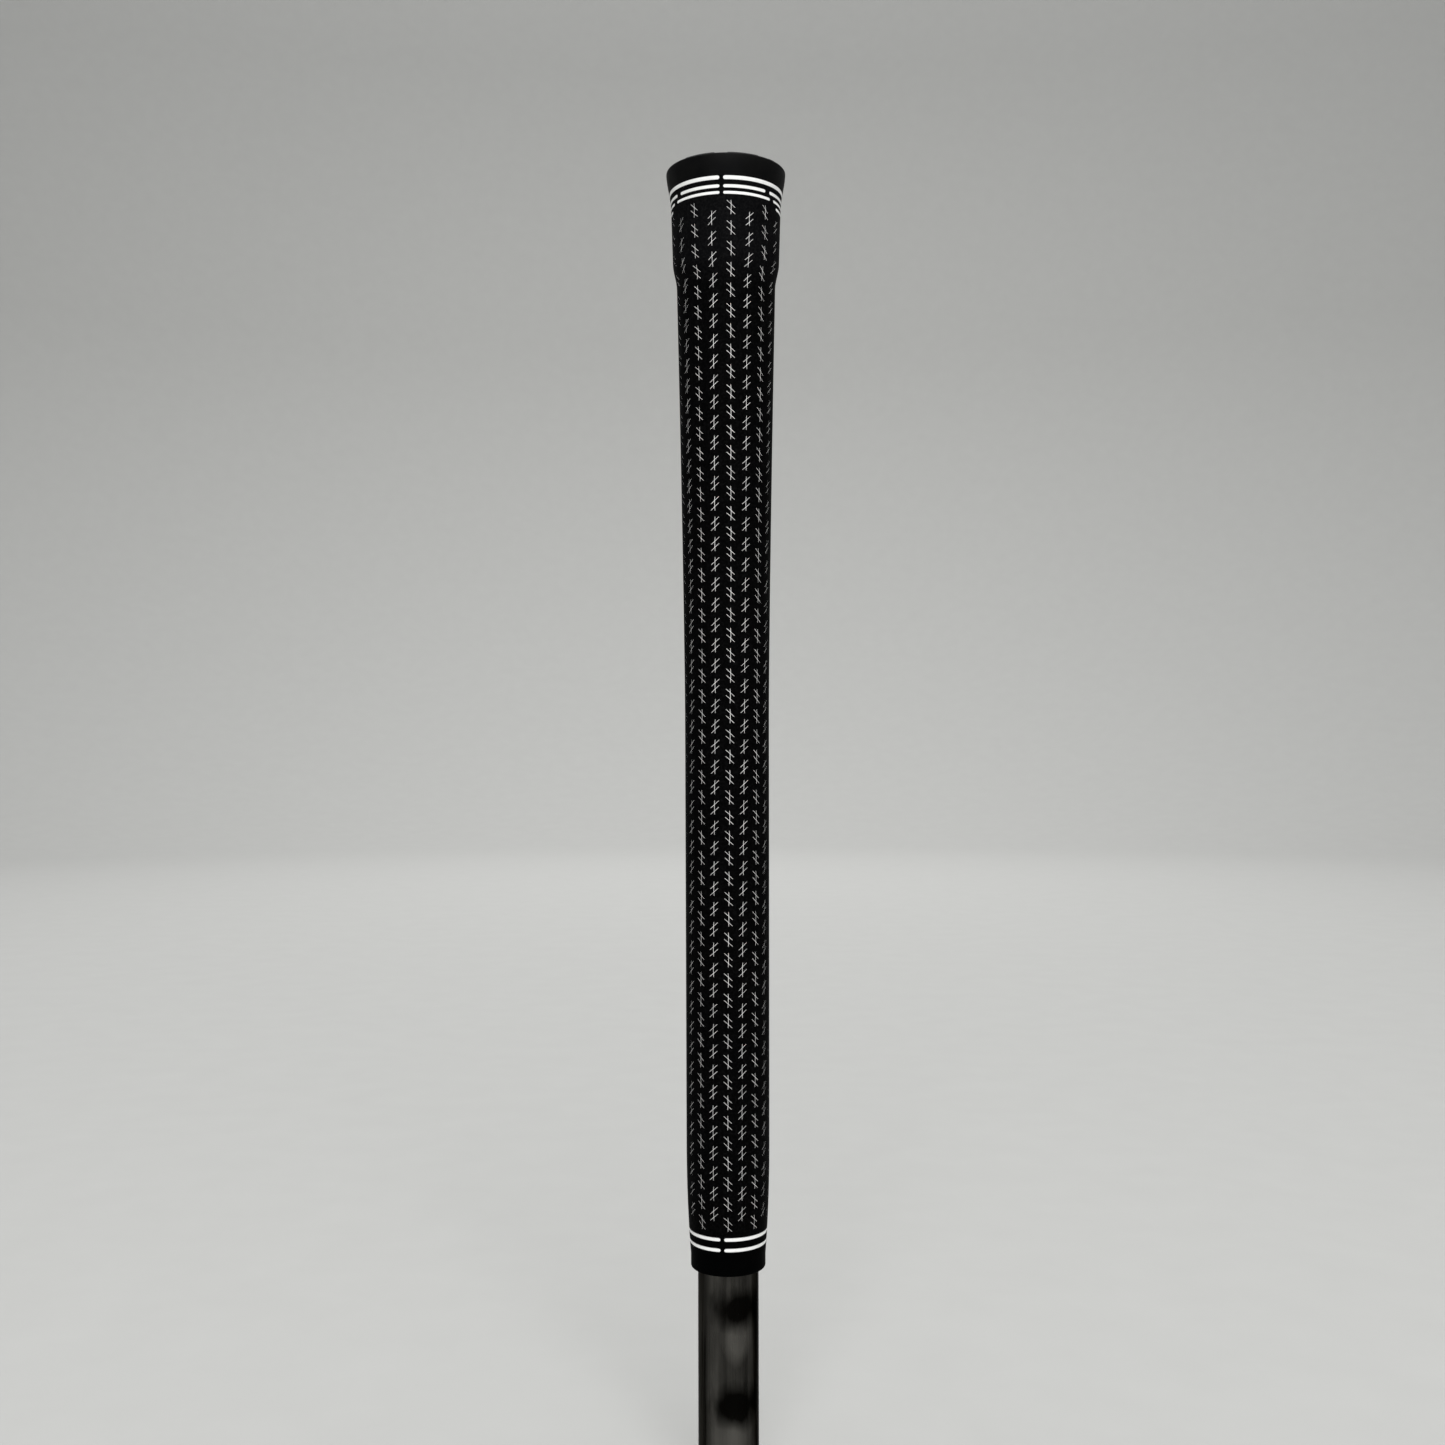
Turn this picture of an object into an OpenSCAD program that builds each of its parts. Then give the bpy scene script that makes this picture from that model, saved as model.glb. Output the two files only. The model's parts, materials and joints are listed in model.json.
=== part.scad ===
// Golf grip on the butt end of a club shaft.
// Origin: centre of the shaft's cut end. +Z runs up the shaft to the butt, and -Y is the front.
// Distances called h are measured down from the butt's end face.

/* [Grip] */
// Length of the grip, from the butt's end face to its mouth
grip_l = 266.7; // [255:0.1:280]
// Diameter of the butt's rim, the widest place
butt_d = 29.2; // [28:0.1:31]
// Radius of the rounding on the butt's rim
rim_round = 0.5; // [0.2:0.1:0.6]
// Distance down to where the flared butt ends
flare_l = 8.4; // [7:0.1:9]
// Diameter where the flared butt ends
neck_d = 26.9; // [26:0.1:27.5]
// Diameter at the lower end of the thick hand section
palm_d = 26.04; // [25:0.01:26.5]
// Distance down to the start of the shoulder under the hand section
shoulder_h = 22.2; // [20:0.1:25]
// Height of the shoulder
shoulder_l = 6.4; // [4:0.1:9]
// Diameter under the shoulder
shoulder_d = 24.08; // [23:0.01:25]
// Distance down to where the hand taper ends
taper_h = 132; // [110:1:150]
// Diameter where the hand taper ends
waist_d = 20.5; // [20:0.1:22]
// Distance down to where the mouth starts to round in
nose_h = 235; // [220:1:240]
// Diameter where the mouth starts to round in
nose_d = 20.16; // [19.5:0.01:20.5]
// Length of the rounded-in stretch
nose_l = 28.6; // [24:0.1:30]
// Outside diameter of the mouth
mouth_d = 18.1; // [17.5:0.1:19]
// Rounding of the mouth's outer corner
mouth_round = 0.6; // [0.2:0.1:0.9]

/* [Butt cap] */
// Height of the cap's visible wall
cap_h = 5.2; // [4.5:0.1:5.2]
// Length of the plug under the cap, which the shaft stops against
plug_l = 2; // [1:0.1:4]
// Diameter of the air vent through the cap
vent_d = 3; // [2:0.1:4]
// Height of the raised marks on the cap's end face
relief_h = 0.3; // [0.1:0.1:0.6]
// Number of raised pads around the rim
pad_count = 8; // [4:1:12]
// Share of the circle that the pads fill
pad_fill = 0.72; // [0.4:0.01:0.9]

/* [Painted rings] */
// Depth of the ring grooves
groove_deep = 0.45; // [0.2:0.05:0.6]
// How far the paint lies under the rubber's surface
paint_low = 0.06; // [0.02:0.01:0.1]
// Width of a ring's break on the alignment line
break_w = 0.85; // [0.5:0.05:1.2]
// Width of a ring's break at the side
side_break_w = 1.4; // [0.8:0.1:1.8]
// Angle of the alignment line at the butt, to the right of the front
butt_line = -4.7; // [-10:0.1:10]
// Angle of the alignment line at the mouth, to the right of the front
mouth_line = -8.8; // [-15:0.1:10]

/* [Shaft and tape] */
// Outside diameter of the shaft where it shows
shaft_d = 14.732; // [14.6:0.002:14.9]
// Outside diameter of the shaft's butt section, under the grip
shaft_butt_d = 15.24; // [15.1:0.02:15.5]
// Length of the step between the two diameters, inside the mouth
step_l = 3; // [1:0.5:3.5]
// Wall thickness of the shaft where it shows
shaft_wall = 0.65; // [0.5:0.05:1.2]
// Length of shaft below the mouth
stub_l = 58; // [50:1:90]
// Thickness of the double-sided tape
tape_t = 0.13; // [0.1:0.01:0.2]
// Length of the mouth's lip, which grips the bare shaft below the tape
lip_l = 4; // [4:0.5:8]

/* [Hidden] */
$fn = 96;

butt_z = stub_l + grip_l;
shaft_top_h = cap_h + plug_l;
seat_l = grip_l - shaft_top_h;
plug_r = shaft_butt_d / 2 + tape_t;
rim_h = 0.7;
over = 1;

// Side breaks of the second and third rings, each side of the alignment line
side_break_2 = 52.2;
side_break_3 = 59.7;
// The fourth ring is a short arc on each side, between these angles from the line
side_arc_start = 69;
side_arc_end = 180 - side_arc_start;

// Raised marks on the end face
pad_outer_r = butt_d / 2 - 0.6;
pad_inner_r = pad_outer_r - 3.2;
boss_inner_r = 3.4;
boss_outer_r = 4.6;

// Rings: distance to the ring's middle, and its width
ring_1 = [5.76, 0.94];
ring_2 = [7.7, 0.79];
ring_3 = [9.22, 0.72];
ring_4 = [10.72, 0.74];
mouth_1 = [257.65, 0.92];
mouth_2 = [260.2, 0.92];

function ease(u) = u * u * (3 - 2 * u);
function span(h, h0, l) = min(1, max(0, (h - h0) / l));
function mix(a, b, u) = a + (b - a) * u;

// Outer diameter along the grip, one stretch after another
function flare_d(h) = let (u = 1 - span(h, rim_h, flare_l - rim_h))
    mix(neck_d, butt_d, 0.6 * ease(u) + 0.4 * u);
function hand_d(h) = mix(neck_d, palm_d, span(h, flare_l, shoulder_h - flare_l));
function drop_d(h) = mix(palm_d, shoulder_d, ease(span(h, shoulder_h, shoulder_l)));
function taper_d(h) = let (h0 = shoulder_h + shoulder_l)
    mix(waist_d, shoulder_d, pow(1 - span(h, h0, taper_h - h0), 1.3));
function lower_d(h) = mix(waist_d, nose_d, span(h, taper_h, nose_h - taper_h));
function mouth_end_d(h) = mix(nose_d, mouth_d, pow(span(h, nose_h, nose_l), 2.2));
function outer_r(h) =
    (h < flare_l ? flare_d(h)
    : h < shoulder_h ? hand_d(h)
    : h < shoulder_h + shoulder_l ? drop_d(h)
    : h < taper_h ? taper_d(h)
    : h < nose_h ? lower_d(h)
    : mouth_end_d(h)) / 2;

// Points of the outer surface between two distances, as [radius, z]
function wall_points(h0, h1, n) =
    [for (i = [0:n]) let (h = mix(h0, h1, i / n)) [outer_r(h), butt_z - h]];

function rounded_rim(steps = 6) =
    [for (i = [0:steps]) let (a = 90 * (1 - i / steps))
        [butt_d / 2 - rim_round + rim_round * cos(a), butt_z - rim_round + rim_round * sin(a)]];

function rounded_mouth(steps = 6) =
    [for (i = [0:steps]) let (a = -90 * i / steps)
        [mouth_d / 2 - mouth_round + mouth_round * cos(a),
         stub_l + mouth_round + mouth_round * sin(a)]];

// Half the angle that a break takes up: wider at the sides than on the alignment line
function half_break(place, r) =
    (place % 180 == 0 ? break_w : side_break_w) / 2 / r * 180 / PI;

// Arcs left between breaks, as [start, end] angles from the alignment line
function arcs(breaks, r) = let (n = len(breaks))
    [for (i = [0:n - 1]) let (next = i < n - 1 ? breaks[i + 1] : breaks[0] + 360)
        [breaks[i] + half_break(breaks[i], r), next - half_break(next, r)]];

ring_1_arcs = arcs([0, 180], outer_r(ring_1[0]));
ring_2_arcs = arcs([0, side_break_2, 180 - side_break_2, 180, 180 + side_break_2,
    360 - side_break_2], outer_r(ring_2[0]));
ring_3_arcs = arcs([0, side_break_3, 180 - side_break_3, 180, 180 + side_break_3,
    360 - side_break_3], outer_r(ring_3[0]));
ring_4_arcs = [[side_arc_start, side_arc_end], [180 + side_arc_start, 180 + side_arc_end]];
mouth_arcs = arcs([0, 180], outer_r(mouth_1[0]));

// Turns a cross-section through arcs that are counted from the alignment line
module arc_sweep(spans, line) {
    for (s = spans)
        rotate([0, 0, line - 90 + s[0]])
            rotate_extrude(angle = s[1] - s[0])
                children();
}

// Paint that fills a groove to just under the surface
module paint(ring, spans, line) {
    top_h = ring[0] - ring[1] / 2;
    low_h = ring[0] + ring[1] / 2;
    floor_r = outer_r(low_h) - groove_deep;
    color("whitesmoke")
        arc_sweep(spans, line)
            polygon([
                [floor_r, butt_z - low_h],
                [outer_r(low_h) - paint_low, butt_z - low_h],
                [outer_r(top_h) - paint_low, butt_z - top_h],
                [floor_r, butt_z - top_h]
            ]);
}

// Space that a groove takes out of the sleeve
module groove(ring, spans, line) {
    low_h = ring[0] + ring[1] / 2;
    floor_r = outer_r(low_h) - groove_deep;
    arc_sweep(spans, line)
        translate([floor_r, butt_z - low_h])
            square([groove_deep + over, ring[1]]);
}

// The shaft's butt section, which the grip sits on, and the step under it
module seat() {
    translate([0, 0, stub_l])
        cylinder(r1 = shaft_d / 2, r2 = shaft_butt_d / 2, h = step_l);
    translate([0, 0, stub_l + step_l])
        cylinder(r = shaft_butt_d / 2, h = seat_l - step_l);
}

// The space that the taped part of the shaft fills
module taped_seat() {
    translate([0, 0, stub_l + lip_l])
        cylinder(r = plug_r, h = seat_l - lip_l);
}

// Steel tube: one diameter where it shows, and stepped up to the next inside the mouth
module shaft() {
    color("dimgray")
        difference() {
            union() {
                cylinder(r = shaft_d / 2, h = stub_l);
                seat();
            }
            translate([0, 0, -over])
                cylinder(r = shaft_d / 2 - shaft_wall, h = butt_z);
        }
}

// Tape wound once round the shaft, from the lip up to the shaft's end
module grip_tape() {
    color("wheat")
        difference() {
            taped_seat();
            seat();
        }
}

// Rubber sleeve below the cap, with grooves for the painted rings
module rubber_sleeve() {
    outline = concat(
        wall_points(cap_h, flare_l, 5),
        wall_points(shoulder_h, shoulder_h + shoulder_l, 8),
        wall_points(shoulder_h + shoulder_l + 8, taper_h, 10),
        wall_points(nose_h, nose_h + nose_l, 12),
        rounded_mouth()
    );
    color([0.09, 0.09, 0.1])
        difference() {
            rotate_extrude()
                polygon(concat(
                    [[0, butt_z - cap_h]],
                    outline,
                    [[0, stub_l]]
                ));
            seat();
            taped_seat();
            translate([0, 0, butt_z - shaft_top_h])
                cylinder(r = plug_r, h = shaft_top_h);
            groove(ring_1, ring_1_arcs, butt_line);
            groove(ring_2, ring_2_arcs, butt_line);
            groove(ring_3, ring_3_arcs, butt_line);
            groove(ring_4, ring_4_arcs, butt_line);
            groove(mouth_1, mouth_arcs, mouth_line);
            groove(mouth_2, mouth_arcs, mouth_line);
        }
}

// Harder end cap: flared wall, plug, air vent and low raised marks
module butt_cap() {
    pad_step = 360 / pad_count;
    color([0.14, 0.14, 0.15])
        difference() {
            union() {
                rotate_extrude()
                    polygon(concat(
                        [[0, butt_z - cap_h], [0, butt_z]],
                        rounded_rim(),
                        wall_points(rim_h, cap_h, 6)
                    ));
                translate([0, 0, butt_z - shaft_top_h])
                    cylinder(r = plug_r, h = shaft_top_h);
                for (i = [0:pad_count - 1])
                    rotate([0, 0, butt_line - 90 + (i + 0.5 - pad_fill / 2) * pad_step])
                        rotate_extrude(angle = pad_step * pad_fill)
                            translate([pad_inner_r, butt_z - over])
                                square([pad_outer_r - pad_inner_r, over + relief_h]);
                rotate_extrude()
                    translate([boss_inner_r, butt_z - over])
                        square([boss_outer_r - boss_inner_r, over + relief_h]);
            }
            translate([0, 0, butt_z - shaft_top_h - over])
                cylinder(r = vent_d / 2, h = shaft_top_h + 2 * over);
        }
}

module butt_ring_1() { paint(ring_1, ring_1_arcs, butt_line); }
module butt_ring_2() { paint(ring_2, ring_2_arcs, butt_line); }
module butt_ring_3() { paint(ring_3, ring_3_arcs, butt_line); }
module butt_ring_4() { paint(ring_4, ring_4_arcs, butt_line); }
module mouth_ring_1() { paint(mouth_1, mouth_arcs, mouth_line); }
module mouth_ring_2() { paint(mouth_2, mouth_arcs, mouth_line); }

shaft();
grip_tape();
rubber_sleeve();
butt_cap();
butt_ring_1();
butt_ring_2();
butt_ring_3();
butt_ring_4();
mouth_ring_1();
mouth_ring_2();
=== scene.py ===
import json
import math
import random

import bmesh
import bpy
import numpy as np
from mathutils import Matrix, Vector


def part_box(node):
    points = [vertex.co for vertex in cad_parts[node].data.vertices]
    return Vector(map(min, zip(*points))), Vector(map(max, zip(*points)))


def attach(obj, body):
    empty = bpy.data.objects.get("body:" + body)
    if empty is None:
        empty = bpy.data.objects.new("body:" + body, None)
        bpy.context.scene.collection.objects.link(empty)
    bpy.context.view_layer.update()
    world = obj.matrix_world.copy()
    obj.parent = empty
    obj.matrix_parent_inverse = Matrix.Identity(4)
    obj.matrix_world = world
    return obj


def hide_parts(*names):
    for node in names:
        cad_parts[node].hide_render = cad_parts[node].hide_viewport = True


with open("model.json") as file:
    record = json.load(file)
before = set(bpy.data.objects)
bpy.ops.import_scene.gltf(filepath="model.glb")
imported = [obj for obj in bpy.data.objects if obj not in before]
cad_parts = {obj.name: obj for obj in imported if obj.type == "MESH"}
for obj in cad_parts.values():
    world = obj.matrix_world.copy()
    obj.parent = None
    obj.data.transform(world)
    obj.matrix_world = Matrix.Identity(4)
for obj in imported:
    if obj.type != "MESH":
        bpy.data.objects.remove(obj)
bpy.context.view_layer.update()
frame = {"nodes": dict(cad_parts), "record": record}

MM = 0.001
RELIEF = 0.3 * MM
SHAFT_R = frame["record"]["mounts"][0]["dims"]["r_mm"] * MM
MOUTH_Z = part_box("rubber_sleeve")[0].z
CAP_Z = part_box("rubber_sleeve")[1].z
BUTT_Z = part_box("butt_cap")[1].z - RELIEF
RIM_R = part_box("butt_cap")[1].x
TAPE_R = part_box("grip_tape")[1].x
SEAT_TOP_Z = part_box("grip_tape")[1].z

# Facets round the turned pieces, and a distance too small to see
ROUND = 192
HAIR = 0.01 * MM
# How far paint reaches into the rubber round it
PAINT_LAP = 0.02 * MM
DICE = random.Random(41)


# ---------------------------------------------------------------- the wall

# The wall stands at least this far off the tape, which sorts its points from the inner ones
LEAST_WALL = 0.4 * MM


def cad_wall():
    """Heights and radii of the grip's outer wall, read off the sleeve and the cap."""
    spots = []
    for name in ("rubber_sleeve", "butt_cap"):
        mesh = frame["nodes"][name].data
        co = np.empty(len(mesh.vertices) * 3)
        mesh.vertices.foreach_get("co", co)
        spots.append(co.reshape(-1, 3))
    spots = np.vstack(spots)
    height = np.round(spots[:, 2], 6)
    reach = np.hypot(spots[:, 0], spots[:, 1])
    levels = np.unique(height)
    widest = np.array([reach[height == z].max() for z in levels])
    outside = (widest > TAPE_R + LEAST_WALL) & (levels <= BUTT_Z + HAIR)
    return levels[outside], widest[outside]


WALL_Z, WALL_R = cad_wall()


def wall_reach(height):
    """The wall's radius at a height."""
    return np.interp(height, WALL_Z, WALL_R)


def on_wall(turn, height, lift):
    """A point at an angle to the right of the front, at a height, lift above the wall."""
    reach = wall_reach(height) + lift
    return np.stack([reach * np.sin(turn), -reach * np.cos(turn), height], axis=-1)


def below_butt(distance_mm):
    return BUTT_Z - distance_mm * MM


# ---------------------------------------------------------------- mesh helpers


def add_piece(name, points, faces):
    mesh = bpy.data.meshes.new(name)
    mesh.from_pydata([tuple(p) for p in points], [], faces)
    made = bpy.data.objects.new(name, mesh)
    bpy.context.scene.collection.objects.link(made)
    return made


def face_outwards(piece):
    shape = bmesh.new()
    shape.from_mesh(piece.data)
    bmesh.ops.recalc_face_normals(shape, faces=shape.faces)
    shape.to_mesh(piece.data)
    shape.free()


def smooth(piece, crease_deg=35):
    """Smooth shading, with an edge wherever the faces turn more than crease_deg."""
    shape = bmesh.new()
    shape.from_mesh(piece.data)
    limit = math.radians(crease_deg)
    for face in shape.faces:
        face.smooth = True
    for edge in shape.edges:
        edge.smooth = len(edge.link_faces) != 2 or edge.calc_face_angle(0) < limit
    shape.to_mesh(piece.data)
    shape.free()


def lathe(name, outline, steps=ROUND, closed=True):
    """Turns an outline of (radius, height) pairs round the Z axis."""
    outline = np.array(outline)
    turns = np.linspace(0, 2 * math.pi, steps, endpoint=False)
    count = len(outline)
    points = np.stack(
        [
            np.outer(np.sin(turns), outline[:, 0]),
            -np.outer(np.cos(turns), outline[:, 0]),
            np.tile(outline[:, 1], (steps, 1)),
        ],
        axis=-1,
    ).reshape(-1, 3)
    faces = []
    for i in range(steps):
        here, there = i * count, (i + 1) % steps * count
        for j in range(count if closed else count - 1):
            k = (j + 1) % count
            faces.append((here + j, there + j, there + k, here + k))
    made = add_piece(name, points, faces)
    face_outwards(made)
    return made


def ribbons(name, strips, section):
    """Solid strips that lie along the wall.

    A strip is (turns, heights, side turns, side heights): its middle line and half widths.
    The section is a loop of (side, lift) corners, side running from -1 to 1.
    """
    points, faces = [], []
    corners = len(section)
    for turns, heights, side_turns, side_heights in strips:
        first = len(points)
        loops = [
            on_wall(turns + side * side_turns, heights + side * side_heights, lift)
            for side, lift in section
        ]
        points.extend(np.stack(loops, axis=1).reshape(-1, 3))
        rows = len(turns)
        for row in range(rows - 1):
            for c in range(corners):
                a = first + row * corners + c
                b = first + row * corners + (c + 1) % corners
                faces.append((a, b, b + corners, a + corners))
        faces.append(tuple(first + c for c in range(corners)))
        last = first + (rows - 1) * corners
        faces.append(tuple(last + c for c in reversed(range(corners))))
    made = add_piece(name, points, faces)
    face_outwards(made)
    return made


def combine(piece, tool, how):
    """Cuts the tool out of the piece, or joins it on, and takes the tool away."""
    step = piece.modifiers.new("step", "BOOLEAN")
    step.operation = how
    step.solver = "MANIFOLD"
    step.object = tool
    graph = bpy.context.evaluated_depsgraph_get()
    made = bpy.data.meshes.new_from_object(piece.evaluated_get(graph))
    piece.modifiers.remove(step)
    old, piece.data = piece.data, made
    bpy.data.meshes.remove(old)
    bpy.data.objects.remove(tool)


# ---------------------------------------------------------------- stitch marks

COLUMNS = 18
COLUMN_STEP = math.radians(360 / COLUMNS)
FIRST_COLUMN = math.radians(5.1)
# Spacing along a column, and the first mark's distance below the butt in mm
PITCH = 4.826 * MM
FIRST_MARK = 12.7
# Marks in an even and in an odd column
MARKS = (51, 50)
STROKE_W = 0.12 * MM
STROKE_STEP = 0.3 * MM
MARK_DEEP = 0.3 * MM
# The paint lies this far under the rubber at a stroke's edge, and rises by the crown in the middle
MARK_PAINT_LOW = 0.045 * MM
MARK_CROWN = 0.02 * MM
STEM_L = 3.38 * MM
BAR_W = 1.98 * MM
BAR_H = 1.74 * MM
BAR_PLACES = (0.77 * MM, -0.74 * MM)
STEM_BOW = 0.07 * MM
# How unevenly the marks are drawn: where strokes end, and how wide they are
JOG = 0.035 * MM
UNEVEN = 0.08
TWIST = math.radians(-5.5)
TWIST_FROM, TWIST_TO = 90, 235


def twist_at(height):
    """How far the fitted grip is wrung round at a height."""
    u = np.clip(((BUTT_Z - height) / MM - TWIST_FROM) / (TWIST_TO - TWIST_FROM), 0, 1)
    return TWIST * u * u * (3 - 2 * u)


def end_rounding(length, width, middle_step):
    """Distances along a strip with round ends, and the share of full width at each."""
    r = width / 2
    near = r * np.array([0.04, 0.2, 0.5, 1.0])
    middle = np.linspace(r, length - r, max(2, round((length - 2 * r) / middle_step) + 1))
    along = np.concatenate([near[:-1], middle, length - near[-2::-1]])
    inset = np.minimum(np.minimum(along, length - along) / r, 1)
    return along, np.sqrt(1 - (1 - inset) ** 2)


def stroke(centre_turn, centre_z, start, end, width, bow):
    """One stroke of a mark, from start to end, given as (right, up) from the mark's centre."""
    start, end = np.array(start), np.array(end)
    length = float(np.linalg.norm(end - start))
    ahead = (end - start) / length
    side = np.array([-ahead[1], ahead[0]])
    along, share = end_rounding(length, width, STROKE_STEP)
    bend = bow * np.sin(math.pi * along / length)
    right = start[0] + ahead[0] * along + side[0] * bend
    up = start[1] + ahead[1] * along + side[1] * bend
    heights = centre_z + up
    reach = wall_reach(centre_z)
    turns = centre_turn + right / reach + twist_at(heights)
    half = share * width / 2
    return turns, heights, side[0] * half / reach, side[1] * half


def mark_strokes(turn, z, lean):
    """The stem and two slanting bars of one mark. lean is 1 where the bars fall to the right."""
    jog = [DICE.uniform(-JOG, JOG) for _ in range(6)]
    width = STROKE_W * DICE.uniform(1 - UNEVEN, 1 + UNEVEN)
    strokes = [
        stroke(
            turn, z, (jog[0], STEM_L / 2 + jog[1]), (jog[2], -STEM_L / 2 + jog[3]),
            width, lean * STEM_BOW,
        )
    ]
    for place, slip in zip(BAR_PLACES, jog[4:]):
        half_w, half_h = BAR_W / 2 + slip, BAR_H / 2
        strokes.append(
            stroke(
                turn, z, (-lean * half_w, place + half_h), (lean * half_w, place - half_h),
                width, slip,
            )
        )
    return strokes


def column_marks(column):
    lean = 1 if column % 2 == 0 else -1
    first = FIRST_MARK + (column % 2) * PITCH / MM / 2
    turn = FIRST_COLUMN + column * COLUMN_STEP
    return [
        mark_strokes(turn, below_butt(first + i * PITCH / MM), lean)
        for i in range(MARKS[column % 2])
    ]


def with_margin(strip, margin):
    """The same strip, wider by margin on each side."""
    turns, heights, side_turns, side_heights = strip
    reach = wall_reach(heights)
    half = np.hypot(side_turns * reach, side_heights)
    grow = (half + margin) / half
    return turns, heights, side_turns * grow, side_heights * grow


def stitch_column(name, marks):
    """Paint lying in the recesses of one column of marks."""
    low, top = -MARK_DEEP - PAINT_LAP, -MARK_PAINT_LOW
    section = ((-1, low), (1, low), (1, top), (0, top + MARK_CROWN), (-1, top))
    column, *bars = [
        ribbons(name, [with_margin(mark[i], PAINT_LAP) for mark in marks], section)
        for i in range(3)
    ]
    for bar in bars:
        combine(column, bar, "UNION")
    smooth(column)
    return column


# ---------------------------------------------------------------- rings

BREAK_W = 0.85 * MM
SIDE_BREAK_W = 1.4 * MM
GROOVE_DEEP = 0.45 * MM
# How far the paint lies under the wall, at a ring's edges and along its middle
EDGE_LOW, CROWN_LOW = 0.08 * MM, 0.03 * MM
# The same at the upper edge of the mouth rings, where it has sunk further
SUNK_EDGE_LOW, SUNK_CROWN_LOW = 0.24 * MM, 0.12 * MM
CROWN_SIDE = 0.55
ARC_STEP = 0.5 * MM
# Angles of the alignment lines, to the right of the front
BUTT_LINE = math.radians(-4.7)
MOUTH_LINE = math.radians(-8.8)
# The fourth ring is an arc on each side, this many degrees from the line
SIDE_ARC = 69
# The other rings' breaks, in degrees from the line
BREAKS = {
    "butt_ring_1": (0, 180),
    "butt_ring_2": (0, 52.2, 127.8, 180, 232.2, 307.8),
    "butt_ring_3": (0, 59.7, 120.3, 180, 239.7, 300.3),
    "mouth_ring_1": (0, 180),
    "mouth_ring_2": (0, 180),
}
RINGS = (*[f"butt_ring_{i}" for i in range(1, 5)], "mouth_ring_1", "mouth_ring_2")


def ring_arcs(name, reach):
    """The arcs of one ring, as (start, end) angles to the right of the front."""
    line = BUTT_LINE if name.startswith("butt") else MOUTH_LINE
    if name not in BREAKS:
        sides = ((SIDE_ARC, 180 - SIDE_ARC), (180 + SIDE_ARC, 360 - SIDE_ARC))
        return [(line + math.radians(a), line + math.radians(b)) for a, b in sides]
    arcs = []
    for start, end in zip(BREAKS[name], (*BREAKS[name][1:], 360)):
        half_start, half_end = (
            (SIDE_BREAK_W if place % 180 else BREAK_W) / 2 / reach for place in (start, end)
        )
        arcs.append(
            (line + math.radians(start) + half_start, line + math.radians(end) - half_end)
        )
    return arcs


def ring_strips(name, margin=0.0):
    low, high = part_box(name)
    middle, width = (low.z + high.z) / 2, high.z - low.z + 2 * margin
    reach = float(wall_reach(middle))
    strips = []
    for start, end in ring_arcs(name, reach):
        length = (end - start) * reach + 2 * margin
        along, share = end_rounding(length, width, ARC_STEP)
        turns = start + (along - margin) / reach
        level = np.full(len(along), middle)
        strips.append((turns, level, np.zeros(len(along)), share * width / 2))
    return strips


def ring_groove(name):
    clear = 0.4 * MM
    section = ((-1, -GROOVE_DEEP), (1, -GROOVE_DEEP), (1, clear), (-1, clear))
    return ribbons("groove", ring_strips(name), section)


def ring_paint(name):
    """Paint in a ring's groove: level at the butt, and sunk along its upper edge at the mouth."""
    low = -GROOVE_DEEP - PAINT_LAP
    top_edge, top_crown = -EDGE_LOW, -CROWN_LOW
    if name.startswith("mouth"):
        top_edge, top_crown = -SUNK_EDGE_LOW, -SUNK_CROWN_LOW
    section = (
        (-1, low), (1, low), (1, top_edge),
        (CROWN_SIDE, top_crown), (-CROWN_SIDE, -CROWN_LOW), (-1, -EDGE_LOW),
    )
    made = ribbons(name + "_paint", ring_strips(name, HAIR), section)
    smooth(made, 50)
    return made


# ---------------------------------------------------------------- sleeve

# The lip at the mouth: its length on the bare shaft, and the height at which the wider bore starts
LIP_L = 3 * MM
LIP_TOP = 4 * MM
SLEEVE_STEP = 1 * MM
# Share of a stroke's width that its recess has at the bottom
RECESS_FLOOR = 0.85


def make_sleeve(columns):
    """The rubber moulding, with its grooves and the recess of every mark cut in."""
    inner = TAPE_R - 0.1 * MM
    levels = np.union1d(
        WALL_Z[(WALL_Z >= MOUTH_Z) & (WALL_Z <= CAP_Z + 0.001 * MM)],
        np.arange(MOUTH_Z + 1.5 * MM, CAP_Z - 0.5 * MM, SLEEVE_STEP),
    )
    keep = np.concatenate([[True], np.diff(levels) > 0.02 * MM])
    levels = levels[keep]
    outline = [(SHAFT_R + HAIR, MOUTH_Z)]
    outline += [(float(wall_reach(z)), float(z)) for z in levels]
    outline += [(inner, float(levels[-1])), (inner, MOUTH_Z + LIP_TOP)]
    outline += [(SHAFT_R + HAIR, MOUTH_Z + LIP_L)]
    sleeve = lathe("sleeve", outline)
    clear = 0.25 * MM
    section = ((-RECESS_FLOOR, -MARK_DEEP), (RECESS_FLOOR, -MARK_DEEP), (1, clear), (-1, clear))
    for i in range(3):
        strips = [mark[i] for marks in columns for mark in marks]
        combine(sleeve, ribbons("recess", strips, section), "DIFFERENCE")
    for name in RINGS:
        combine(sleeve, ring_groove(name), "DIFFERENCE")
    smooth(sleeve)
    return sleeve


# ---------------------------------------------------------------- cap

CAP_ROUND = 360
# Eight raised pads near the rim, which fill this share of the circle
PADS = 8
PAD_FILL = 0.72
PAD_R = (RIM_R - 3.8 * MM, RIM_R - 0.6 * MM)
BOSS_R = (3.4 * MM, 4.6 * MM)
VENT_R = 1.5 * MM
VENT_ROUND = 0.25 * MM
# Width of the slopes at the raised marks' sides, and the spacing of the end face's rings of points
SLOPE = 0.25 * MM
FACE_STEP = 0.15 * MM


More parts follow.
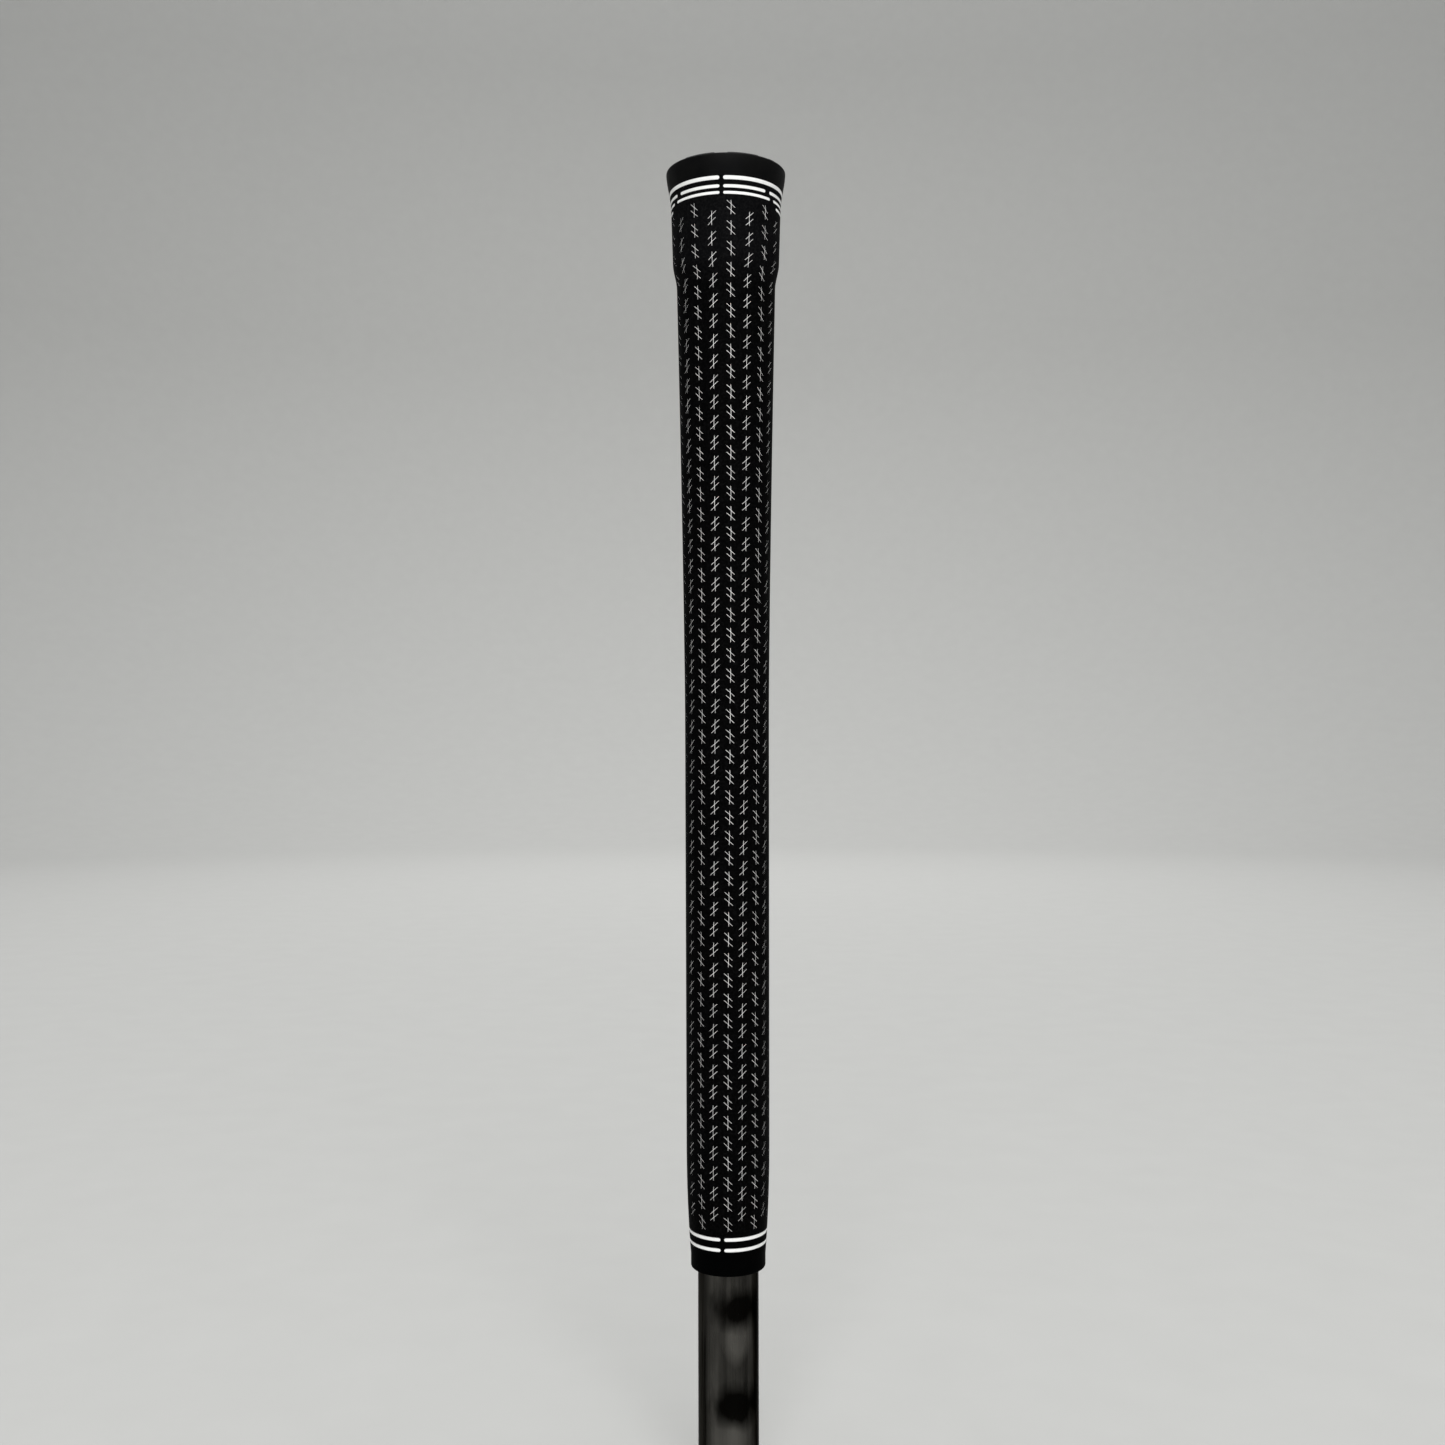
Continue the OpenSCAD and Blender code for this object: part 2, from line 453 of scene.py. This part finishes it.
def ramp(x, edge, soft):
    """Rises smoothly from 0 to 1 across an edge."""
    u = np.clip((x - edge) / soft + 0.5, 0, 1)
    return u * u * (3 - 2 * u)


def band(x, low, high, soft):
    """1 between low and high and 0 outside, with soft sides."""
    return ramp(x, low, soft) * (1 - ramp(x, high, soft))


def end_face_lift(reach, turn):
    """Height of the raised marks on the end face."""
    step = 2 * math.pi / PADS
    off_pad = np.abs((turn - BUTT_LINE) % step - step / 2) * reach
    pads = band(reach, *PAD_R, SLOPE) * (1 - ramp(off_pad, PAD_FILL * step / 2 * reach, SLOPE))
    boss = band(reach, *BOSS_R, SLOPE)
    return (RELIEF - 0.002 * MM) * np.maximum(pads, boss)


def make_cap():
    """The end cap as one skin: underside, flared wall, rim, end face and vent."""
    plug_r = TAPE_R - 0.05 * MM
    wall = WALL_Z[WALL_Z >= CAP_Z - 0.001 * MM]
    wall = np.union1d(wall, np.arange(CAP_Z + 0.5 * MM, BUTT_Z - 1 * MM, 0.5 * MM))
    skin = [(plug_r, SEAT_TOP_Z), (plug_r, CAP_Z)]
    skin += [(float(wall_reach(z)), float(z)) for z in wall]
    rim_r = skin[-1][0]
    face = np.arange(rim_r - FACE_STEP, VENT_R + 0.3 * MM, -FACE_STEP)
    first_face = len(skin)
    skin += [(float(r), BUTT_Z) for r in face]
    last_face = len(skin)
    for a in np.linspace(0, math.pi / 2, 5):
        inward, down = VENT_ROUND * (1 - math.sin(a)), VENT_ROUND * (1 - math.cos(a))
        skin.append((VENT_R + inward, BUTT_Z - down))
    skin += [(VENT_R, SEAT_TOP_Z)]
    made = lathe("cap", skin, CAP_ROUND)
    co = np.empty(len(made.data.vertices) * 3)
    made.data.vertices.foreach_get("co", co)
    co = co.reshape(CAP_ROUND, len(skin), 3)
    top = co[:, first_face:last_face]
    reach = np.hypot(top[..., 0], top[..., 1])
    turn = np.arctan2(top[..., 0], -top[..., 1])
    top[..., 2] += end_face_lift(reach, turn)
    made.data.vertices.foreach_set("co", co.ravel())
    smooth(made, 50)
    return made


# ---------------------------------------------------------------- shaft

CUT_ROUND = 0.15 * MM
# Length of the hidden cone that widens the tube inside the mouth
STEP_L = 3 * MM


def make_shaft():
    """The tube: round-edged cut end, the stretch that shows, the hidden step and the bore."""
    seat_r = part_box("shaft")[1].x
    top_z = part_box("shaft")[1].z
    bore_r = frame["record"]["mounts"][1]["dims"]["r_mm"] * MM
    quarter = np.linspace(0, math.pi / 2, 5)
    outline = []
    for a in quarter:
        outline.append((bore_r + CUT_ROUND * (1 - math.cos(a)), CUT_ROUND * (1 - math.sin(a))))
    for a in quarter:
        outline.append((SHAFT_R - CUT_ROUND * (1 - math.sin(a)), CUT_ROUND * (1 - math.cos(a))))
    outline += [(SHAFT_R, z) for z in np.linspace(1 * MM, MOUTH_Z, 58)]
    outline += [(seat_r, MOUTH_Z + STEP_L), (seat_r, top_z), (bore_r, top_z)]
    made = lathe("shaft_tube", outline)
    smooth(made, 50)
    return made


# ---------------------------------------------------------------- materials


class Recipe:
    """A material under construction: adds nodes and joins them up."""

    def __init__(self, name):
        self.material = bpy.data.materials.new(name)
        self.material.use_nodes = True
        self.tree = self.material.node_tree
        self.shader = self.tree.nodes["Principled BSDF"]
        place = self.tree.nodes.new("ShaderNodeTexCoord")
        self.place = place.outputs["Object"]

    def node(self, kind, **inputs):
        made = self.tree.nodes.new("ShaderNode" + kind)
        for key, value in inputs.items():
            self.feed(made.inputs[key.replace("_", " ")], value)
        return made

    def feed(self, socket, value):
        """Links an output to the socket, or sets the socket to a constant."""
        if isinstance(value, bpy.types.NodeSocket):
            self.tree.links.new(value, socket)
        else:
            socket.default_value = value

    def set(self, **inputs):
        for key, value in inputs.items():
            self.feed(self.shader.inputs[key.replace("_", " ")], value)

    def stretch(self, x, y, z):
        made = self.node("Mapping", Vector=self.place)
        made.inputs["Scale"].default_value = (x, y, z)
        return made.outputs["Vector"]

    def noise(self, scale, detail, rough, vector=None):
        made = self.node(
            "TexNoise", Scale=scale, Detail=detail, Roughness=rough, Vector=vector or self.place
        )
        return made.outputs["Fac"]

    def cells(self, scale):
        made = self.node("TexVoronoi", Scale=scale, Vector=self.place)
        return made.outputs["Distance"]

    def span(self, value, low, high, out_low, out_high):
        """Maps low to high onto out_low to out_high, and holds the ends."""
        made = self.node("MapRange", Value=value)
        sockets = ("From Min", "From Max", "To Min", "To Max")
        for key, number in zip(sockets, (low, high, out_low, out_high)):
            made.inputs[key].default_value = number
        return made.outputs["Result"]

    def math(self, how, a, b=0.0):
        made = self.tree.nodes.new("ShaderNodeMath")
        made.operation = how
        self.feed(made.inputs[0], a)
        self.feed(made.inputs[1], b)
        return made.outputs[0]

    def blend(self, share, first, second):
        made = self.tree.nodes.new("ShaderNodeMix")
        made.data_type = "RGBA"
        self.feed(made.inputs[0], share)
        self.feed(made.inputs[6], (*first, 1) if isinstance(first, tuple) else first)
        self.feed(made.inputs[7], (*second, 1) if isinstance(second, tuple) else second)
        return made.outputs[2]

    def height(self):
        split = self.node("SeparateXYZ", Vector=self.place)
        return split.outputs["Z"]

    def turn_degrees(self):
        """The angle round the Z axis, to the right of the front, from -180 to 180."""
        split = self.node("SeparateXYZ", Vector=self.place)
        ahead = self.math("MULTIPLY", split.outputs["Y"], -1.0)
        turn = self.math("ARCTAN2", split.outputs["X"], ahead)
        return self.math("MULTIPLY", turn, 180 / math.pi)

    def bump(self, height, distance, strength, normal=None):
        made = self.node("Bump", Height=height, Distance=distance, Strength=strength)
        if normal:
            self.feed(made.inputs["Normal"], normal)
        return made.outputs["Normal"]


def grip_rubber():
    """Near-black matt rubber with a fine pebbled grain, smooth at both ends."""
    m = Recipe("grip_rubber")
    grain = m.cells(2100.0)
    worms = m.noise(1900.0, 2.0, 0.6)
    texture = m.math("ADD", m.math("MULTIPLY", grain, 0.6), m.math("MULTIPLY", worms, 0.9))
    z = m.height()
    lower = m.span(z, MOUTH_Z + 10 * MM, MOUTH_Z + 14 * MM, 0.0, 1.0)
    upper = m.span(z, CAP_Z - 7 * MM, CAP_Z - 4 * MM, 1.0, 0.0)
    textured = m.math("MULTIPLY", lower, upper)
    relief = m.math("MULTIPLY", texture, textured)
    patches = m.noise(160.0, 4.0, 0.55)
    pebbles = m.math("POWER", m.span(texture, 0.4, 1.0, 0.0, 1.0), 2.0)
    tone = m.blend(pebbles, (0.0001, 0.0001, 0.00012), (0.0032, 0.0032, 0.0034))
    hand_tone = m.blend(pebbles, (0.0018, 0.0019, 0.0023), (0.0065, 0.0065, 0.0069))
    hand = m.span(z, BUTT_Z - 30 * MM, BUTT_Z - 24 * MM, 0.0, 1.0)
    tone = m.blend(hand, tone, hand_tone)
    lip = m.span(z, MOUTH_Z + 6 * MM, MOUTH_Z + 11 * MM, 1.0, 0.0)
    tone = m.blend(lip, tone, (0.0002, 0.0003, 0.0003))
    worn = m.span(patches, 0.35, 0.7, 0.0, 0.35)
    m.set(
        Base_Color=m.blend(worn, tone, (0.0008, 0.0008, 0.0009)),
        Roughness=m.span(patches, 0.3, 0.7, 0.58, 0.72),
        Normal=m.bump(relief, 0.05 * MM, 0.8, m.bump(patches, 0.02 * MM, 0.4)),
        Specular_IOR_Level=0.012,
    )
    return m.material


def cap_rubber():
    """The cap's harder, smoother compound, a shade lighter, with white paint on the raised pads."""
    m = Recipe("cap_rubber")
    fine = m.noise(1400.0, 3.0, 0.6)
    wide = m.noise(220.0, 3.0, 0.5)
    clouds = m.span(wide, 0.3, 0.7, 0.0, 1.0)
    rubber = m.blend(clouds, (0.0018, 0.0019, 0.0022), (0.0038, 0.0038, 0.0036))
    painted = m.span(m.height(), BUTT_Z + 0.75 * RELIEF, BUTT_Z + 0.85 * RELIEF, 0.0, 1.0)
    grains = m.span(fine, 0.3, 0.7, 0.0, 1.0)
    paint = m.blend(grains, (0.42, 0.42, 0.41), (0.54, 0.54, 0.53))
    m.set(
        Base_Color=m.blend(painted, rubber, paint),
        Roughness=m.span(wide, 0.3, 0.7, 0.46, 0.6),
        Normal=m.bump(fine, 0.02 * MM, 0.5, m.bump(wide, 0.03 * MM, 0.3)),
        Specular_IOR_Level=0.05,
    )
    return m.material


def groove_paint():
    """White filling paint, a little uneven, with a soft sheen."""
    m = Recipe("groove_paint")
    grains = m.noise(2400.0, 4.0, 0.6)
    pools = m.noise(500.0, 3.0, 0.5)
    greying = m.span(pools, 0.35, 0.7, 0.0, 1.0)
    m.set(
        Base_Color=m.blend(greying, (0.92, 0.92, 0.91), (0.84, 0.84, 0.83)),
        Roughness=m.span(grains, 0.3, 0.7, 0.42, 0.6),
        Normal=m.bump(grains, 0.02 * MM, 0.5, m.bump(pools, 0.05 * MM, 0.5)),
        Specular_IOR_Level=0.35,
    )
    return m.material


def stitch_paint():
    """The paint in the marks: uneven, with painted shade that greys it towards the mouth."""
    m = Recipe("stitch_paint")
    grains = m.noise(5200.0, 4.0, 0.65)
    pools = m.span(m.noise(900.0, 3.0, 0.5), 0.35, 0.7, 0.0, 0.5)
    # Painted shade: greyer towards the mouth, where less light falls; the pools are the paint's own
    # unevenness
    greying = m.math("ADD", pools, m.span(m.height(), MOUTH_Z, BUTT_Z - 60 * MM, 0.4, 0.0))
    m.set(
        Base_Color=m.blend(greying, (0.96, 0.96, 0.95), (0.44, 0.44, 0.44)),
        Roughness=m.span(grains, 0.3, 0.7, 0.55, 0.75),
        Normal=m.bump(grains, 0.03 * MM, 0.7),
        Specular_IOR_Level=0.3,
    )
    return m.material


# Painted reflections, soft lengthwise light bands on the shaft: degrees to the right, half width,
# strength
SHAFT_REFLECTION_BANDS = (
    (-64, 16, 0.17), (-27, 23, 0.5), (11, 25, 0.31), (44, 18, 0.18),
    (105, 16, 0.4), (160, 22, 0.5), (-118, 18, 0.35),
)
# Painted reflections, soft dark and light ovals on the shaft: degrees, distance below the mouth in
# mm, half width in degrees, half height in mm
DARK_REFLECTION_PATCHES = (
    (19, 8.2, 50, 4.7), (17, 31.4, 50, 4.9), (-150, 20.0, 46, 5.0), (-152, 44.0, 46, 5.0),
)
LIGHT_REFLECTION_PATCHES = ((17, 15.5, 26, 5.0), (8, 39.5, 32, 6.0))
LIGHT_REFLECTION_GAIN = 0.5
DARK_REFLECTION_LOSS = 0.97


def shaft_oval(m, turn, wobble, place, reach, half_turn, half_reach):
    """A soft-edged oval on the shaft: 1 inside it and 0 outside."""
    across = m.math("DIVIDE", m.math("SUBTRACT", turn, place), half_turn)
    up = m.math("SUBTRACT", m.height(), MOUTH_Z - reach * MM)
    along = m.math("DIVIDE", up, half_reach * MM)
    squares = m.math("ADD", m.math("POWER", across, 2.0), m.math("POWER", along, 2.0))
    off = m.math("ADD", m.math("SQRT", squares), wobble)
    return m.span(off, 0.55, 1.25, 1.0, 0.0)


def shaft_finish():
    """Dark metal finish with fine streaks, and painted reflections in its colour: soft lengthwise
    bands and blurred darker and lighter patches.
    """
    m = Recipe("shaft_finish")
    streaks = m.noise(900.0, 4.0, 0.6, m.stretch(1, 1, 0.03))
    hairs = m.noise(5200.0, 2.0, 0.5, m.stretch(1, 1, 0.015))
    clouds = m.noise(240.0, 3.0, 0.5, m.stretch(1, 1, 0.35))
    turn = m.turn_degrees()
    light = m.span(streaks, 0.35, 0.7, 0.0, 0.22)
    # Painted reflections: light bands by angle round the shaft
    for place, half, strength in SHAFT_REFLECTION_BANDS:
        off = m.math("ABSOLUTE", m.math("SUBTRACT", turn, place))
        light = m.math("ADD", light, m.span(off, half * 0.2, half, strength, 0.0))
    light = m.math("MULTIPLY", light, m.span(clouds, 0.3, 0.7, 0.7, 1.25))
    wobble = m.span(clouds, 0.2, 0.8, -0.3, 0.3)
    # Painted reflections: lighter patches
    for oval in LIGHT_REFLECTION_PATCHES:
        gain = m.math("MULTIPLY", shaft_oval(m, turn, wobble, *oval), LIGHT_REFLECTION_GAIN)
        light = m.math("ADD", light, gain)
    # Painted reflections: darker patches
    for oval in DARK_REFLECTION_PATCHES:
        loss = m.math("MULTIPLY", shaft_oval(m, turn, wobble, *oval), DARK_REFLECTION_LOSS)
        light = m.math("MULTIPLY", light, m.math("SUBTRACT", 1.0, loss))
    m.set(
        # The colour carries painted reflections on top of the metal's own streaks
        Base_Color=m.blend(light, (0.0022, 0.002, 0.0016), (0.12, 0.115, 0.105)),
        Metallic=1.0,
        Specular_Tint=(0.4, 0.4, 0.4, 1),
        Roughness=m.span(streaks, 0.3, 0.7, 0.24, 0.36),
        Normal=m.bump(hairs, 0.006 * MM, 0.5),
    )
    return m.material


def paper_tape():
    """Creped paper tape, seen only if the grip is taken apart."""
    m = Recipe("paper_tape")
    crepe = m.noise(900.0, 3.0, 0.6, m.stretch(1, 1, 3.0))
    m.set(
        Base_Color=m.blend(crepe, (0.62, 0.54, 0.38), (0.78, 0.72, 0.56)),
        Roughness=m.span(crepe, 0.3, 0.7, 0.7, 0.9),
        Normal=m.bump(crepe, 0.05 * MM, 0.8),
    )
    return m.material


def stage_paper():
    """Pale backdrop paper with faint fibres."""
    m = Recipe("stage_paper")
    fibre = m.noise(40.0, 4.0, 0.5)
    m.set(
        Base_Color=m.blend(fibre, (0.36, 0.36, 0.35), (0.38, 0.38, 0.37)),
        Roughness=0.95,
        Specular_IOR_Level=0.1,
    )
    return m.material


def dress(piece, material):
    piece.data.materials.clear()
    piece.data.materials.append(material)


# ---------------------------------------------------------------- stage, light and camera

FLOOR_R = 2.4
SWEEP_R = 1.2
WALL_TOP = 3.4
STAGE_ROUND = 96

WORLD_COLOUR = (0.98, 0.99, 1.0, 1)
WORLD_STRENGTH = 1.12
# Area lamps: name, place, what they point at, size, power
MIDDLE = (0, 0, BUTT_Z / 2)
LAMPS = (
    ("front", (0.1, -1.2, 1.1), MIDDLE, (0.9, 0.9), 21),
    ("top", (0.0, 0.5, 2.6), (0.0, 0.5, 0.0), (1.6, 1.6), 31),
    ("far floor", (0.0, 1.9, 1.65), (0.0, 2.15, 0.05), (1.4, 0.9), 19),
    ("backdrop", (0.0, 1.9, 2.8), (0.0, 3.6, 2.5), (2.2, 1.2), 14),
)


def make_stage():
    """A round floor that curves up into an upright wall all the way round."""
    outline = [(0.001, 0.0), (0.3, 0.0)]
    for a in np.linspace(0, math.pi / 2, 32):
        outline.append((FLOOR_R + SWEEP_R * math.sin(a), SWEEP_R * (1 - math.cos(a))))
    outline.append((FLOOR_R + SWEEP_R, WALL_TOP))
    made = lathe("stage", outline, STAGE_ROUND, closed=False)
    smooth(made, 80)
    dress(made, stage_paper())


def area_light(name, place, target, size, power):
    light = bpy.data.lights.new(name, "AREA")
    light.shape = "RECTANGLE"
    light.size, light.size_y = size
    light.energy = power
    made = bpy.data.objects.new(name, light)
    bpy.context.scene.collection.objects.link(made)
    made.location = place
    made.rotation_euler = (Vector(target) - Vector(place)).to_track_quat("-Z", "Y").to_euler()


def make_lights():
    world = bpy.data.worlds.new("world")
    bpy.context.scene.world = world
    world.use_nodes = True
    sky = world.node_tree.nodes["Background"]
    sky.inputs["Color"].default_value = WORLD_COLOUR
    sky.inputs["Strength"].default_value = WORLD_STRENGTH
    for lamp in LAMPS:
        area_light(*lamp)


LENS_MM = 38.94
SENSOR_MM = 36
# The camera's distance, how far below the butt it aims in mm, and how far left it stands
CAMERA_REACH = 382.0 * MM
CAMERA_DROP = 134.7
CAMERA_X = -1.11 * MM
CAMERA_PITCH = math.radians(0.8)
CAMERA_ROLL = math.radians(-0.13)


def make_camera():
    lens = bpy.data.cameras.new("camera")
    lens.lens = LENS_MM
    lens.sensor_width = SENSOR_MM
    made = bpy.data.objects.new("camera", lens)
    bpy.context.scene.collection.objects.link(made)
    back = CAMERA_REACH * math.cos(CAMERA_PITCH)
    down = CAMERA_REACH * math.sin(CAMERA_PITCH)
    place = Vector((CAMERA_X, -back, below_butt(CAMERA_DROP) - down))
    upright = Matrix.Rotation(math.pi / 2 + CAMERA_PITCH, 4, "X")
    turn = upright @ Matrix.Rotation(CAMERA_ROLL, 4, "Z")
    made.matrix_world = Matrix.Translation(place) @ turn
    bpy.context.scene.camera = made


# ---------------------------------------------------------------- assembly


def place_piece(piece, material, slot, *replaced):
    dress(piece, material)
    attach(piece, "root")
    if replaced:
        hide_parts(*replaced)


make_camera()
make_stage()
make_lights()

stitch_white = stitch_paint()
ring_white = groove_paint()
columns = [column_marks(i) for i in range(COLUMNS)]
place_piece(make_sleeve(columns), grip_rubber(), "grip_rubber", "rubber_sleeve")
for number, marks in enumerate(columns, 1):
    column = stitch_column(f"stitches_{number:02d}", marks)
    place_piece(column, stitch_white, "white_paint")
for ring in RINGS:
    place_piece(ring_paint(ring), ring_white, "white_paint", ring)
place_piece(make_cap(), cap_rubber(), "cap_rubber", "butt_cap")
place_piece(make_shaft(), shaft_finish(), "shaft_finish", "shaft")
dress(frame["nodes"]["grip_tape"], paper_tape())

bpy.context.scene.view_settings.view_transform = "Standard"
